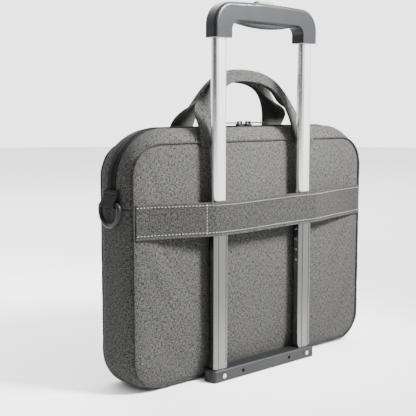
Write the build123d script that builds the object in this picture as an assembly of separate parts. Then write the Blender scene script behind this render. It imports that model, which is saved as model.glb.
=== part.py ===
from build123d import *
import os

# Soft laptop case carried on a two-tube telescopic pull handle. Millimetres, +Z up.
#
# The origin is the middle of the case's flat base. +Y points out of the back, where the luggage
# strap and the pull handle are; the front, with its zip pocket, faces -Y. Left and right are as seen
# from the front, so the right-hand side is +X.

# ---- case: overall outline ----------------------------------------------------------------------
case_width = 398.0          # across the gusset at its widest
case_height = 296.0         # base to the zip at the top
panel_side_inset = 6.5      # panels' sewn edges, in from the widest line
panel_low = 4.0             # height of the panels' lower edge
panel_top_inset = 16.0      # panels' upper edges, down from the zip
panel_corner_top = 38.0
panel_corner_low = 34.0
ridge_corner_top = 62.0
ridge_corner_low = 38.0
case_half_depth = 30.0      # middle plane to the outer face of a panel
ridge_half_depth = 14.0     # half of the level band round the gusset

# ---- case: cloth, foam and seams ----------------------------------------------------------------
gusset_thickness = 2.4
cover_thickness = 1.5
foam_thickness = 5.0
lining_thickness = 1.0
foam_inset = 4.0            # foam and lining stop this far inside the cover's edge
welt_height = 2.0           # ridge of the seam round each panel
base_board_inset = (49.0, 10.0)
base_board_thickness = 2.0
base_board_gap = 2.2        # under the board, clear of the sloping gusset

# ---- case: opening ------------------------------------------------------------------------------
fold_drop = 87.0            # zip to the level where the front folds outwards
fold_gap = 0.4
zip_centre = -2.0           # depth of the zip's middle line
zip_tape_width = 7.0
zip_tape_thickness = 1.0
zip_coil_width = 2.0
zip_coil_height = 1.3
zip_end_drop = 74.0         # top of the zip to its lower ends
zip_coil_sunk = 0.4         # coil and tape sit this far into the level band
slider_gap = 0.4

# ---- case: inside -------------------------------------------------------------------------------
divider_side_gap = 14.5
divider_thickness = 4.0
divider_low = 7.4
divider_drop = 48.0         # zip to the divider's upper edge
divider_back = 6.0          # depth of its rear face
divider_corner = 30.0
sleeve_pocket_size = (240.0, 1.2, 150.0)
sleeve_pocket_low = 40.0

# ---- front pocket -------------------------------------------------------------------------------
pocket_side_inset = 19.0
pocket_thickness = 3.0
pocket_low = 15.0
pocket_drop = 62.0          # zip to the pocket's upper edge
pocket_corner = 26.0
pocket_zip_inset = 10.0
pocket_zip_tape_height = 12.0
pocket_zip_tape_thickness = 2.0
pocket_zip_coil = 3.0       # height of the coil's band
pocket_zip_coil_proud = 1.0
pocket_slider_at = -150.0

# ---- zip sliders and pullers --------------------------------------------------------------------
slider_length = 10.0
slider_width = 6.6
slider_height = 2.4
bridge_height = 3.2
bridge_length = 8.0
bridge_leg = 2.0
bridge_roof = 1.0
bridge_width = 2.2
puller_length = 28.0
puller_width = 6.8
puller_bar = 1.4            # width and thickness of the bar held by the bridge
puller_eye = (4.7, 3.2)     # clear hole round the bridge
puller_slot = (8.0, 2.6)
puller_slot_margin = 2.0
puller_corner = 1.6
main_slider_spacing = 14.0

# ---- D-rings --------------------------------------------------------------------------------------
ring_rod = 2.6              # radius of the ring's round section
ring_half_width = 17.4
ring_middle = 1.0           # depth of the ring's middle
ring_drop = 24.5
ring_corner = 4.5
ring_below_zip = 8.0        # from the end of the zip to the ring's bar
tab_width = 26.0
tab_thickness = 1.8
tab_gap = 0.3
tab_rise = 7.5

# ---- carry handles ------------------------------------------------------------------------------
handle_half_span = 97.0     # outer edge of a leg at its root
handle_leg_width = 36.0
handle_rise = 84.0
handle_top_width = 22.0
handle_taper = 12.0         # each leg leans in this much by the top
handle_corner = 42.0
handle_cover = 2.4
handle_lining = 1.4
handle_proud = 1.2          # pivot line, out from the panel
handle_seat = 2.4           # pivot line above the seam
handle_lean = 17.0          # degrees inwards at rest

# ---- pull handle tubes --------------------------------------------------------------------------
tube_pitch = 143.4
tubes_middle = 10.6         # middle of the two tubes, to the right of the case's middle
tube_standoff = 15.5        # tube axes, out from the back panel
outer_tube = (22.0, 14.0)
outer_wall = 1.5
inner_clearance = 0.1
inner_wall = 1.2
tube_corner = 4.6
outer_tube_low = 3.0
outer_tube_high = 187.0
collar_height = 12.0
collar_lip = 3.0            # above the outer tube, round the inner one
collar_clearance = 0.25
collar_wall = 1.0
inner_tube_low = 117.0
inner_tube_high = 418.0
flute_width = 1.2
flute_depth = 0.5
flute_half_pitch = 5.8
handle_travel = 100.0

# ---- lock ---------------------------------------------------------------------------------------
pin_height = 128.0
pin_radius = 2.0
pin_length = 7.0
pin_gap = 0.1
keyway_width = 5.0
keyway_depth = 0.9
pin_reach = 0.6             # how far the tip stands in the outer tube's keyway
detent_pitch = 13.0
detent_radius = 2.2
detents_above = 3
lock_block_height = 16.0
lock_block_gap = 0.15
rod_radius = 1.5
rod_gap = 0.4
rod_low = 135.5

# ---- luggage strap ------------------------------------------------------------------------------
strap_width = 38.0
strap_drop = 81.5           # zip to the strap's upper edge
strap_thickness = 2.4
strap_clearance = 0.7       # strap to the collars
strap_sewn = 6.0            # length sewn flat at each end
strap_turns = (30.0, 9.0)   # bend where it leaves the panel, bend over a tube
strap_end_gap = 0.3

# ---- foot bracket -------------------------------------------------------------------------------
bracket_height = 14.0
bracket_depth = 20.0
bracket_overhang = 4.0
bracket_corner = 4.0
mount_hole_radius = 2.25
mount_hole_pitch = 80.0
bracket_screw_radius = 1.5
bracket_screw_head = 2.8
bracket_screw_head_height = 1.6

# ---- grip ---------------------------------------------------------------------------------------
grip_leg_width = 26.0
grip_depth = 20.0
grip_low = 398.0
grip_top = 440.0
grip_crown = 3.0
grip_bar_under = 417.0
grip_corner = 26.0
grip_inner_corner = 10.0
grip_edge = 4.0
grip_under_edge = 2.0
insert_depth = 13.0
insert_height = 2.2
insert_rib_pitch = 4.0
insert_rib_width = 1.8
insert_rib_height = 0.9
button_size = (30.0, 11.5)
button_recess = 8.5
button_proud = 3.0
button_gap = 0.4
button_travel = 4.0
button_edge = 1.6
travel_gap = 0.6            # left under the button and the bar when fully pressed
stem_radius = 2.5
bar_top = 428.6

# ---- small allowances ---------------------------------------------------------------------------
pocket_top_corner = 2.0
slider_corner = 2.0
round_end_slack = 0.1       # keeps a round-ended shape short of a full half circle
handle_taper_inside = 0.6   # inner outline of a handle, as a share of the outer one
bracket_edge = 1.0
pin_above_foot = 1.0
insert_end_gap = 1.0        # finger insert to the inner corners of the grip
at_place = 0.01             # an edge or face counts as being at a place within this distance
near_place = 0.5            # the same, beside a crowned or rounded surface

case_half = case_width / 2
panel_half = case_half - panel_side_inset
panel_high = case_height - panel_top_inset
fold_height = case_height - fold_drop
zip_low_end = case_height - zip_end_drop
ring_height = zip_low_end - ring_below_zip
strap_high = case_height - strap_drop
divider_high = case_height - divider_drop
pocket_high = case_height - pocket_drop
pocket_half = case_half - pocket_side_inset
handle_depth = case_half_depth + handle_proud
handle_root = panel_high + handle_seat
tube_depth = case_half_depth + tube_standoff
inner_tube = tuple(size - 2 * (outer_wall + inner_clearance) for size in outer_tube)
collar = tuple(size + 2 * collar_wall for size in outer_tube)
tube_places = {
    "right": tubes_middle + tube_pitch / 2,
    "left": tubes_middle - tube_pitch / 2,
}
puller_level = slider_height + (bridge_height - bridge_roof) / 2
pocket_face = case_half_depth + pocket_thickness


# ---- small helpers ------------------------------------------------------------------------------
def block(x_range, y_range, z_range):
    """A box given by its three ranges."""
    low = Vector(x_range[0], y_range[0], z_range[0])
    high = Vector(x_range[1], y_range[1], z_range[1])
    size = high - low
    return Pos(*((low + high) * 0.5)) * Box(size.X, size.Y, size.Z)


def outline(half_width, low, high, corner_low, corner_top, depth):
    """An upright rounded rectangle at one depth, facing along Y."""
    corners = [(-half_width, low), (half_width, low), (half_width, high), (-half_width, high)]
    face = make_face(Polyline(*corners, close=True))
    face = fillet(face.vertices().group_by(Axis.Y)[0], corner_low)
    face = fillet(face.vertices().group_by(Axis.Y)[-1], corner_top)
    return Pos(0, depth, 0) * (Plane.XZ * face)


def panel_outline(inset, depth):
    """The sewn edge of a panel, drawn in by an inset."""
    return outline(panel_half - inset, panel_low + inset, panel_high - inset,
                   panel_corner_low - inset, panel_corner_top - inset, depth)


def ridge_outline(inset, depth):
    """The widest line of the gusset, drawn in by an inset."""
    return outline(case_half - inset, inset, case_height - inset,
                   ridge_corner_low - inset, ridge_corner_top - inset, depth)


def plate(face, thickness):
    """A face at one depth thickened towards +Y."""
    return extrude(face, amount=thickness, dir=(0, 1, 0))


def ring(make_outline, inset, wall, depth, length):
    """A closed band that follows an outline, from one depth towards +Y."""
    whole = plate(make_outline(inset, depth), length)
    return whole - plate(make_outline(inset + wall, depth), length)


def above(shape, height):
    return split(shape, bisect_by=Plane.XY.offset(height), keep=Keep.TOP)


def fold_upper(shape):
    """The part of a piece that folds out with the front."""
    return above(shape, fold_height + fold_gap / 2)


def fold_lower(shape):
    """The part of a piece that stays below the fold."""
    return split(shape, bisect_by=Plane.XY.offset(fold_height - fold_gap / 2), keep=Keep.BOTTOM)


def gusset_slope(side):
    """The sloping part of the gusset between a panel's edge and the level band."""
    def cone(inset):
        return loft([panel_outline(inset, side * case_half_depth),
                     ridge_outline(inset, side * ridge_half_depth)], ruled=True)
    return cone(0) - cone(gusset_thickness)


def tube_profile(size, corner):
    return RectangleRounded(size[0], size[1], corner)


def tube(size, wall, low, high, x):
    """A hollow oval tube with shallow flutes on its two broad faces."""
    height = high - low
    body = extrude(tube_profile(size, tube_corner), amount=height)
    bore_size = (size[0] - 2 * wall, size[1] - 2 * wall)
    body -= extrude(tube_profile(bore_size, tube_corner - wall), amount=height)
    for face in (-1, 1):
        for step in (-1, 1):
            body -= Pos(step * flute_half_pitch, face * size[1] / 2, height / 2) * Box(
                flute_width, 2 * flute_depth, height)
    return Pos(x, tube_depth, low) * body


# ---- case shell ---------------------------------------------------------------------------------
def gusset_parts():
    """The band round the case: its upper half splits at the zip, its lower half is one piece."""
    zip_back = zip_centre + zip_tape_width
    zip_front = zip_centre - zip_tape_width
    rear_level = ring(ridge_outline, 0, gusset_thickness, zip_back, ridge_half_depth - zip_back)
    front_level = ring(ridge_outline, 0, gusset_thickness, -ridge_half_depth,
                       zip_front + ridge_half_depth)
    low_level = ring(ridge_outline, 0, gusset_thickness, -ridge_half_depth, 2 * ridge_half_depth)
    rear = gusset_slope(1) + rear_level
    front = gusset_slope(-1) + front_level
    lower = gusset_slope(1) + gusset_slope(-1) + low_level
    return {
        "rear_gusset": fold_upper(rear),
        "front_gusset": fold_upper(front),
        "lower_gusset": fold_lower(lower),
    }


def zip_parts():
    """The main zip: two tapes and two coils, over the top from one tab to the other."""
    front = zip_centre - zip_tape_width
    tapes = {
        "rear": ring(ridge_outline, zip_coil_sunk, zip_tape_thickness, zip_centre, zip_tape_width),
        "front": ring(ridge_outline, zip_coil_sunk, zip_tape_thickness, front, zip_tape_width),
    }
    coil_inset = zip_coil_sunk - zip_coil_height
    coils = {
        "rear": ring(ridge_outline, coil_inset, zip_coil_height, zip_centre, zip_coil_width),
        "front": ring(ridge_outline, coil_inset, zip_coil_height,
                      zip_centre - zip_coil_width, zip_coil_width),
    }
    parts = {f"zip_tape_{side}": fold_upper(shape) for side, shape in tapes.items()}
    parts.update({f"zip_coil_{side}": above(shape, zip_low_end) for side, shape in coils.items()})
    return parts


def layers(side):
    """Cover, foam, lining and seam welt of one panel, from the outside in."""
    out = side * case_half_depth

    def layer(inset, start, thickness):
        depth = min(side * start, side * (start - thickness))
        return plate(panel_outline(inset, depth), thickness)

    foam_face = case_half_depth - cover_thickness
    lining_face = foam_face - foam_thickness
    inner = gusset_thickness + foam_inset
    welt_start = out if side > 0 else out - welt_height
    return {
        "panel": layer(gusset_thickness, case_half_depth, cover_thickness),
        "foam": layer(inner, foam_face, foam_thickness),
        "lining": layer(inner, lining_face, lining_thickness),
        "welt": ring(panel_outline, 0, gusset_thickness, welt_start, welt_height),
    }


def panel_parts():
    parts = {f"back_{name}": shape for name, shape in layers(1).items()}
    for name, shape in layers(-1).items():
        parts[f"front_{name}_upper"] = fold_upper(shape)
        parts[f"front_{name}_lower"] = fold_lower(shape)
    return parts


def inside_parts():
    """The stiff board in the base, the padded divider and the flat pocket sewn on it."""
    board_half, board_deep = (case_half - base_board_inset[0], case_half_depth - base_board_inset[1])
    board_low = gusset_thickness + base_board_gap
    board = block((-board_half, board_half), (-board_deep, board_deep),
                  (board_low, board_low + base_board_thickness))
    divider_front = divider_back - divider_thickness
    face = outline(case_half - divider_side_gap, divider_low, divider_high, divider_corner, divider_corner,
                   divider_front)
    pocket_width_in, pocket_skin, pocket_tall = sleeve_pocket_size
    sleeve_pocket = block((-pocket_width_in / 2, pocket_width_in / 2),
                          (divider_front - pocket_skin, divider_front),
                          (sleeve_pocket_low, sleeve_pocket_low + pocket_tall))
    return {
        "base_board": board,
        "laptop_divider": plate(face, divider_thickness),
        "divider_pocket": sleeve_pocket,
    }


def pocket_parts():
    """The flat front pocket, sewn over the front panel, and its straight zip."""
    face = outline(pocket_half, pocket_low, pocket_high, pocket_corner, pocket_top_corner, -pocket_face)
    sheet = plate(face, pocket_thickness)
    half = pocket_half - pocket_zip_inset
    tape_top = pocket_high + pocket_zip_tape_height
    tape_face = case_half_depth + pocket_zip_tape_thickness
    tape = block((-half, half), (-tape_face, -case_half_depth), (pocket_high, tape_top))
    middle = (pocket_high + tape_top) / 2
    coil = block((-half, half), (-tape_face - pocket_zip_coil_proud, -tape_face),
                 (middle - pocket_zip_coil / 2, middle + pocket_zip_coil / 2))
    return {
        "pocket_panel_upper": fold_upper(sheet),
        "pocket_panel_lower": fold_lower(sheet),
        "pocket_zip_tape": tape,
        "pocket_zip_coil": coil,
    }


# ---- zip sliders and pullers --------------------------------------------------------------------
def slider(shift):
    """A slider on its back: base plate at z = 0 and up, with the bridge that holds the puller."""
    base = Pos(0, shift, slider_height / 2) * Box(slider_length, slider_width, slider_height)
    base = fillet(base.edges().filter_by(Axis.Z), slider_corner)
    rise = bridge_height - bridge_roof
    arch = Pos(0, shift, slider_height + bridge_height / 2) * Box(
        bridge_length, bridge_width, bridge_height)
    window = Pos(0, shift, slider_height + rise / 2) * Box(
        bridge_length - 2 * bridge_leg, bridge_width, rise)
    return base + (arch - window)


def puller(shift):
    """A flat tab that reaches towards +X from the bar that turns under the bridge's roof."""
    middle = (puller_length - puller_bar) / 2
    tab = Pos(middle, 0) * RectangleRounded(puller_length, puller_width, puller_corner)
    tab -= Pos(-puller_length / 2, 0) * Rectangle(puller_length, puller_width)
    eye_end = puller_bar / 2 + puller_eye[0]
    eye = Pos(eye_end / 2, 0) * Rectangle(eye_end, puller_eye[1])
    slot_at = puller_length - puller_bar - puller_slot[0] / 2 - puller_slot_margin
    slot = Pos(slot_at, 0) * RectangleRounded(*puller_slot, (puller_slot[1] - round_end_slack) / 2)
    plate_part = Pos(0, 0, -puller_bar / 2) * extrude(tab - eye - slot, amount=puller_bar)
    bar = Cylinder(puller_bar / 2, puller_width, rotation=(90, 0, 0))
    return Pos(0, shift, 0) * (plate_part + bar)


def main_zip_sliders():
    """Two sliders that meet on the top run; their pullers point away from each other."""
    base = case_height + zip_coil_height - zip_coil_sunk + slider_gap
    shift = zip_centre + slider_width / 2 + slider_gap
    parts = {}
    for side, sign in (("right", 1), ("left", -1)):
        turn = Pos(sign * main_slider_spacing / 2, 0, base) * Rot(0, 0, 0 if sign > 0 else 180)
        parts[f"main_slider_{side}"] = turn * slider(sign * shift)
        parts[f"main_puller_{side}"] = turn * Pos(0, 0, puller_level) * puller(sign * shift)
    return parts


def pocket_slider_parts():
    """The pocket's slider stands on the coil and faces -Y; its puller hangs down."""
    face = pocket_face + slider_gap
    height = pocket_high + pocket_zip_tape_height / 2
    stand = Plane(origin=(pocket_slider_at, -face, height), x_dir=(0, 0, -1), z_dir=(0, -1, 0))
    tab = stand * Pos(0, 0, puller_level) * puller(0)
    return {"pocket_slider": stand * slider(0), "pocket_puller": tab}


# ---- D-rings ------------------------------------------------------------------------------------------------
def d_ring_parts():
    """A ring on a straight bar, hung in a webbing loop that is sewn over the end of the zip."""
    loop_inner = ring_rod + tab_gap
    loop_outer = loop_inner + tab_thickness
    bar = case_half + loop_outer
    w, c = ring_half_width, ring_corner
    side_end = ring_drop - w
    path = (
        Line((-w + c, 0), (w - c, 0))
        + JernArc((w - c, 0), (1, 0), c, -90)
        + Line((w, -c), (w, -side_end))
        + ThreePointArc((w, -side_end), (0, -ring_drop), (-w, -side_end))
        + Line((-w, -side_end), (-w, -c))
        + JernArc((-w, -c), (0, 1), c, -90)
    )
    upright = Plane(origin=(0, 0, 0), x_dir=(0, 1, 0), z_dir=(1, 0, 0))
    hoop = sweep(Plane.XZ * Circle(ring_rod), path=upright * path)
    loop = Cylinder(loop_outer, tab_width, rotation=(90, 0, 0))
    loop += block((-loop_outer, -loop_outer + tab_thickness), (-tab_width / 2, tab_width / 2),
                  (-loop_outer, tab_rise))
    loop -= Cylinder(loop_inner, tab_width, rotation=(90, 0, 0))
    parts = {}
    for side, sign in (("right", 1), ("left", -1)):
        place = Pos(sign * bar, ring_middle, ring_height) * Rot(0, 0, 0 if sign > 0 else 180)
        parts[f"d_ring_{side}"] = place * hoop
        parts[f"d_ring_tab_{side}"] = place * loop
    return parts


# ---- carry handles ------------------------------------------------------------------------------
def carry_handle_parts():
    """Two flat arches, each a cloth cover with a lining on its inner face, leaning together."""
    span, leg, taper = handle_half_span, handle_leg_width, handle_taper
    rise, inner_rise = handle_rise, handle_rise - handle_top_width
    outer = [(-span, 0), (-span + taper, rise), (span - taper, rise), (span, 0)]
    inner = [(-span + leg, 0), (-span + leg + taper * handle_taper_inside, inner_rise),
             (span - leg - taper * handle_taper_inside, inner_rise), (span - leg, 0)]

    def arch(points, corner):
        face = make_face(Polyline(*points, close=True))
        return fillet(face.vertices().group_by(Axis.Y)[-1], corner)

    face = arch(outer, handle_corner) - arch(inner, handle_corner - handle_top_width * handle_taper_inside)
    upright = Plane.XZ * face
    parts = {}
    for name, sign in (("rear", 1), ("front", -1)):
        tilt = Pos(0, sign * handle_depth, handle_root) * Rot(sign * handle_lean, 0, 0)
        cover = plate(upright, handle_cover)
        lining = Pos(0, -handle_lining, 0) * plate(upright, handle_lining)
        if sign < 0:
            cover, lining = (mirror(shape, Plane.XZ) for shape in (cover, lining))
        parts[f"{name}_handle_cover"] = tilt * cover
        parts[f"{name}_handle_lining"] = tilt * lining
    return parts


# ---- luggage strap ------------------------------------------------------------------------------
def luggage_strap():
    """A band across the back: sewn flat at both ends, running straight out over the two tubes."""
    flat = case_half_depth + strap_thickness / 2
    proud = tube_depth + collar[1] / 2 + strap_clearance + strap_thickness / 2
    end = panel_half - gusset_thickness - strap_end_gap
    over_right = tube_places["right"] + collar[0] / 2 + strap_clearance + strap_thickness
    over_left = tube_places["left"] - collar[0] / 2 - strap_clearance - strap_thickness
    stitch = end - strap_sewn
    leaving, over = strap_turns
    route = FilletPolyline(
        (end, flat), (stitch, flat), (over_right, proud),
        (over_left, proud), (-stitch, flat), (-end, flat),
        radius=[leaving, over, over, leaving],
    )
    section = Plane(origin=(end, flat, 0), x_dir=(0, 1, 0), z_dir=(-1, 0, 0)) * Rectangle(
        strap_thickness, strap_width)
    return Pos(0, 0, strap_high - strap_width / 2) * sweep(section, path=route)


# ---- pull handle --------------------------------------------------------------------------------
def outer_tube_part(side):
    """The fixed tube, with a keyway and detent holes on the side that faces the other tube."""
    x = tube_places[side]
    inwards = 1 if side == "left" else -1
    body = tube(outer_tube, outer_wall, outer_tube_low, outer_tube_high, x)
    wall_inside = x + inwards * (outer_tube[0] / 2 - outer_wall)
    keyway_end = wall_inside + inwards * keyway_depth
    body -= block(sorted((wall_inside - inwards, keyway_end)),
                  (tube_depth - keyway_width / 2, tube_depth + keyway_width / 2),
                  (outer_tube_low, outer_tube_high))
    for step in range(detents_above + 1):
        hole = Cylinder(detent_radius, 3 * outer_wall, rotation=(0, 90, 0))
        body -= Pos(wall_inside, tube_depth, pin_height + step * detent_pitch) * hole
    return body


def collars():
    """A plastic collar on the top of each outer tube guides the inner one."""
    whole = collar_height + collar_lip
    opening = tuple(size + 2 * collar_clearance for size in inner_tube)
    solids = []
    for x in tube_places.values():
        body = extrude(tube_profile(collar, tube_corner + collar_wall), amount=whole)
        body -= extrude(tube_profile(outer_tube, tube_corner), amount=collar_height)
        body -= extrude(tube_profile(opening, tube_corner), amount=whole)
        solids.append(Pos(x, tube_depth, outer_tube_high - collar_height) * body)
    return Compound(children=solids)


def foot_bracket():
    """A bar that holds the tubes' lower ends and bolts to the base that they stand on."""
    ends = [x + sign * (outer_tube[0] / 2 + bracket_overhang)
            for x, sign in ((tube_places["left"], -1), (tube_places["right"], 1))]
    length = ends[1] - ends[0]
    body = extrude(RectangleRounded(length, bracket_depth, bracket_corner), amount=bracket_height)
    body = Pos(sum(ends) / 2, tube_depth, 0) * body
    body = chamfer(body.faces().sort_by(Axis.Z)[-1].edges(), bracket_edge)
    across = bracket_depth + 2
    for x in tube_places.values():
        socket = extrude(tube_profile(outer_tube, tube_corner), amount=bracket_height)
        body -= Pos(x, tube_depth, outer_tube_low) * socket
        screw_hole = Cylinder(bracket_screw_radius, bracket_depth, rotation=(90, 0, 0))
        body -= Pos(x, tube_depth + bracket_depth / 2, bracket_height / 2) * screw_hole
    for sign in (-1, 1):
        hole = Cylinder(mount_hole_radius, across, rotation=(90, 0, 0))
        body -= Pos(tubes_middle + sign * mount_hole_pitch / 2, tube_depth, bracket_height / 2) * hole
    return body


def bracket_screws():
    """One screw through the bracket's back wall into each tube."""
    solids = []
    back = tube_depth + bracket_depth / 2
    wall = bracket_depth / 2 - outer_tube[1] / 2
    for x in tube_places.values():
        shank = Cylinder(bracket_screw_radius, wall, rotation=(90, 0, 0))
        head = Cylinder(bracket_screw_head, bracket_screw_head_height, rotation=(90, 0, 0))
        screw = Pos(0, -wall / 2, 0) * shank + Pos(0, bracket_screw_head_height / 2, 0) * head
        solids.append(Pos(x, back, bracket_height / 2) * screw)
    return Compound(children=solids)


def inner_tube_part(side):
    """The sliding tube, with a hole for its lock pin."""
    x = tube_places[side]
    inwards = 1 if side == "left" else -1
    body = tube(inner_tube, inner_wall, inner_tube_low, inner_tube_high, x)
    hole = Cylinder(pin_radius + pin_gap, 3 * inner_wall, rotation=(0, 90, 0))
    return body - Pos(x + inwards * inner_tube[0] / 2, tube_depth, pin_height) * hole


def lock_parts():
    """Inside each inner tube's foot: a block, and the pin that springs out of it."""
    parts, blocks = {}, []
    bore = tuple(size - 2 * (inner_wall + lock_block_gap) for size in inner_tube)
    for side, x in tube_places.items():
        inwards = 1 if side == "left" else -1
        low = inner_tube_low + pin_above_foot
        body = extrude(tube_profile(bore, tube_corner - inner_wall), amount=lock_block_height)
        body = Pos(x, tube_depth, low) * body
        tip = x + inwards * (outer_tube[0] / 2 - outer_wall + pin_reach)
        pin = Cylinder(pin_radius, pin_length, rotation=(0, 90, 0))
        pin = Pos(tip - inwards * pin_length / 2, tube_depth, pin_height) * pin
        room = Cylinder(pin_radius + pin_gap, 2 * bore[0], rotation=(0, 90, 0))
        body -= Pos(x, tube_depth, pin_height) * room
        rod_way = Cylinder(rod_radius + rod_gap, lock_block_height)
        body -= Pos(x, tube_depth, pin_height + lock_block_height / 2) * rod_way
        blocks.append(body)
        parts[f"lock_pin_{side}"] = pin
    parts["lock_blocks"] = Compound(children=blocks)
    return parts


def grip_outline():
    """The arch of the grip, seen from the back, with a slightly crowned top."""
    half = tube_pitch / 2 + grip_leg_width / 2
    inner = tube_pitch / 2 - grip_leg_width / 2
    outer_face = make_face(
        Line((half, grip_low), (half, grip_top - grip_crown))
        + ThreePointArc((half, grip_top - grip_crown), (0, grip_top), (-half, grip_top - grip_crown))
        + Line((-half, grip_top - grip_crown), (-half, grip_low))
        + Line((-half, grip_low), (half, grip_low))
    )
    outer_face = fillet(outer_face.vertices().group_by(Axis.Y)[-1], grip_corner)
    under = [(-inner, grip_low), (-inner, grip_bar_under), (inner, grip_bar_under), (inner, grip_low)]
    inner_face = make_face(Polyline(*under, close=True))
    inner_face = fillet(inner_face.vertices().group_by(Axis.Y)[-1], grip_inner_corner)
    return outer_face - inner_face


def button_shape(grow, height):
    length, width = (size + 2 * grow for size in button_size)
    return extrude(RectangleRounded(length, width, (width - round_end_slack) / 2), amount=height)


def grip_parts():
    """The moulded grip and the ribbed insert under its bar."""
    depth_low = tube_depth - grip_depth / 2
    arch = Pos(tubes_middle, depth_low, 0) * plate(Plane.XZ * grip_outline(), grip_depth)
    outside = [edge for edge in arch.edges()
               if edge.center().Z > grip_low + 1 and on_outside(edge)]
    arch = fillet(outside, grip_edge)
    under = [edge for edge in arch.edges() if abs(edge.center().Z - grip_bar_under) < at_place
             and abs(edge.length - (tube_pitch - grip_leg_width - 2 * grip_inner_corner)) < near_place]
    arch = fillet(under, grip_under_edge)

    inner = tube_pitch / 2 - grip_leg_width / 2 - grip_inner_corner - insert_end_gap
    insert_low = grip_bar_under
    insert = Pos(tubes_middle, tube_depth, insert_low + insert_height / 2) * Box(
        2 * inner, insert_depth, insert_height)
    ribs = []
    count = int(2 * inner / insert_rib_pitch) - 1
    for step in range(count):
        x = tubes_middle + (step - (count - 1) / 2) * insert_rib_pitch
        ribs.append(block((x - insert_rib_width / 2, x + insert_rib_width / 2),
                          (tube_depth - insert_depth / 2, tube_depth + insert_depth / 2),
                          (insert_low - insert_rib_height, insert_low)))
    shell = arch - insert

    for x in tube_places.values():
        socket = extrude(tube_profile(inner_tube, tube_corner), amount=inner_tube_high - grip_low)
        shell -= Pos(x, tube_depth, grip_low) * socket

    middle = Pos(tubes_middle, tube_depth, 0)
    well_low = grip_top - button_recess
    shell -= middle * Pos(0, 0, well_low) * button_shape(button_gap, 2 * button_recess)
    gallery_low = bar_top - 2 * rod_radius - button_travel - travel_gap
    stem_way = Cylinder(stem_radius + button_gap, well_low - gallery_low)
    shell -= middle * Pos(0, 0, (well_low + gallery_low) / 2) * stem_way
    reach = tube_pitch / 2 + rod_radius + rod_gap
    shell -= block((tubes_middle - reach, tubes_middle + reach),
                   (tube_depth - rod_radius - rod_gap, tube_depth + rod_radius + rod_gap),
                   (gallery_low, bar_top + rod_gap))
    for x in tube_places.values():
        rod_way = Cylinder(rod_radius + rod_gap, gallery_low - inner_tube_high)
        shell -= Pos(x, tube_depth, (gallery_low + inner_tube_high) / 2) * rod_way
    return shell, insert + ribs


def button_part():
    """The oval button and the stem under it."""
    low = grip_top - button_recess + button_travel + travel_gap
    cap = Pos(0, 0, low) * button_shape(0, grip_top + button_proud - low)
    cap = fillet(cap.faces().sort_by(Axis.Z)[-1].edges(), button_edge)
    stem = Pos(0, 0, (bar_top + low) / 2) * Cylinder(stem_radius, low - bar_top)
    return Pos(tubes_middle, tube_depth, 0) * (cap + stem)


def on_outside(edge):
    """Whether an edge of the grip's arch runs along its outer skin."""
    centre = edge.center()
    across = abs(centre.X - tubes_middle)
    at_face = abs(abs(centre.Y - tube_depth) - grip_depth / 2) < at_place
    half = tube_pitch / 2 + grip_leg_width / 2
    return at_face and (across > half - grip_corner or centre.Z > grip_top - grip_crown - near_place)


def release_rods():
    """A cross bar under the button, with a rod down each inner tube."""
    reach = tube_pitch / 2 + rod_radius
    bar_low = bar_top - 2 * rod_radius
    body = block((tubes_middle - reach, tubes_middle + reach),
                 (tube_depth - rod_radius, tube_depth + rod_radius), (bar_low, bar_top))
    for x in tube_places.values():
        length = bar_low - rod_low
        body += Pos(x, tube_depth, rod_low + length / 2) * Cylinder(rod_radius, length)
    return body


def build():
    parts = {}
    parts.update(gusset_parts())
    parts.update(zip_parts())
    parts.update(panel_parts())
    parts.update(inside_parts())
    parts.update(pocket_parts())
    parts.update(main_zip_sliders())
    parts.update(pocket_slider_parts())
    parts.update(d_ring_parts())
    parts.update(carry_handle_parts())
    parts["luggage_strap"] = luggage_strap()
    for side in tube_places:
        parts[f"outer_tube_{side}"] = outer_tube_part(side)
        parts[f"inner_tube_{side}"] = inner_tube_part(side)
    parts["tube_collars"] = collars()
    parts["foot_bracket"] = foot_bracket()
    parts["bracket_screws"] = bracket_screws()
    parts.update(lock_parts())
    parts["grip_shell"], parts["grip_insert"] = grip_parts()
    parts["release_button"] = button_part()
    parts["release_rods"] = release_rods()
    return parts


os.makedirs("parts", exist_ok=True)
for node, shape in build().items():
    export_step(shape, f"parts/{node}.step")
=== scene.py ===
import math

import bmesh
import bpy
from mathutils import Matrix, Vector, noise


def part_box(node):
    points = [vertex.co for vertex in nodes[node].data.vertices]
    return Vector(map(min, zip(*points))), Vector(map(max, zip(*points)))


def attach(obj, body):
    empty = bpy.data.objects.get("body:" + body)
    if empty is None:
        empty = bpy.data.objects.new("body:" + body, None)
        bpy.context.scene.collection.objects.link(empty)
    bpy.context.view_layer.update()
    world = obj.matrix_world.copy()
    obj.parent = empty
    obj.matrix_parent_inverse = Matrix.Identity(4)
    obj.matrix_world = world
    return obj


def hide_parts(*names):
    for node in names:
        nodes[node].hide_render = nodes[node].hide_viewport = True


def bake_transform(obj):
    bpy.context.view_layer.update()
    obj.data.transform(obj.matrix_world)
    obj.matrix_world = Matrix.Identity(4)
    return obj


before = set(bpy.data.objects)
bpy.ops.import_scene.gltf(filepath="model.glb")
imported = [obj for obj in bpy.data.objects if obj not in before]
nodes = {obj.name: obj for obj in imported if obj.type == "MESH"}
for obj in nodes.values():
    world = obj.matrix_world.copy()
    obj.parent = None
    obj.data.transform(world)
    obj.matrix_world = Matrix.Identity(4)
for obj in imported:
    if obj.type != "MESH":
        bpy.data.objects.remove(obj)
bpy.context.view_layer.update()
mm = 0.001

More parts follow.
